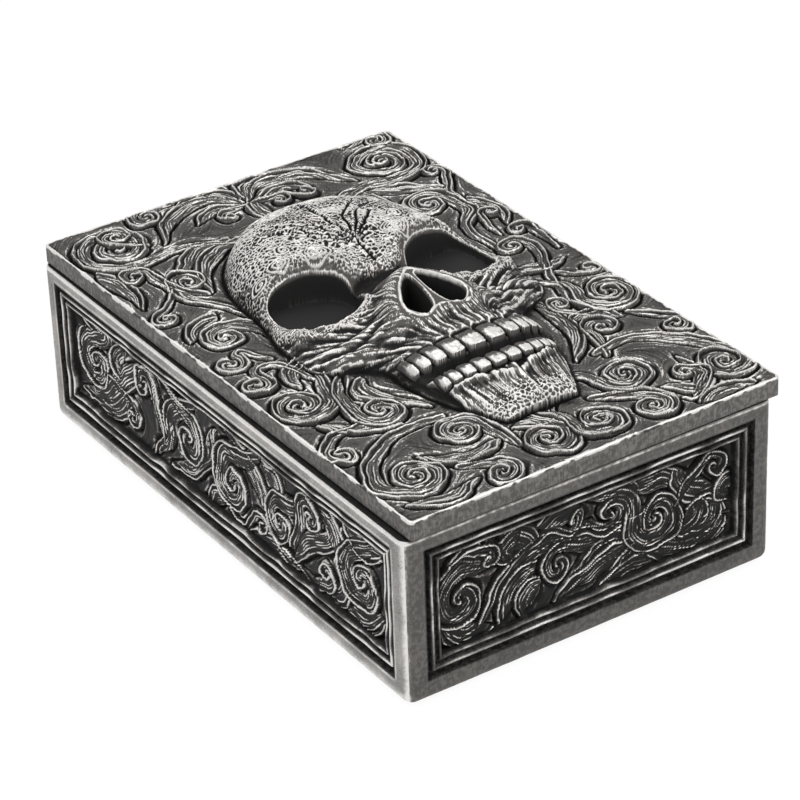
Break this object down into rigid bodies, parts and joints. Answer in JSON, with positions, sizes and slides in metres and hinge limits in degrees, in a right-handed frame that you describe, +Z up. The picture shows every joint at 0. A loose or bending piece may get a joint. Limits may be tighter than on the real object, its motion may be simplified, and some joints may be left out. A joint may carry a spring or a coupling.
{
  "type": "lidded keepsake box",
  "caption": "Rectangular cast box with framed scrollwork recesses on its sides and a loose lift-off lid that carries a skull in high relief.",
  "frame": {"origin": "centre of the underside of the base felt, on the surface that the box stands on", "axes": "+Z up, X along the short side, Y along the long side with the skull's chin towards -Y"},
  "size_m": [0.1164, 0.1792, 0.0688],
  "materials": {
    "box_casting": "cast resin, black ground with silver dry-brushed ridges and worn edges",
    "lid_casting": "cast resin, black ground with silver dry-brushed ridges and worn edges",
    "felt": "black felt",
    "lining_felt": "black felt"
  },
  "bodies": {
    "box": {"box_body": "box_casting", "base_felt": "felt", "floor_lining": "lining_felt"},
    "lid": {"lid": "lid_casting"}
  },
  "joints": [
    {"name": "lid_lift", "type": "slide", "parent": "box", "child": "lid", "axis": [0, 0, 1], "range_m": [0, 0.12]}
  ]
}
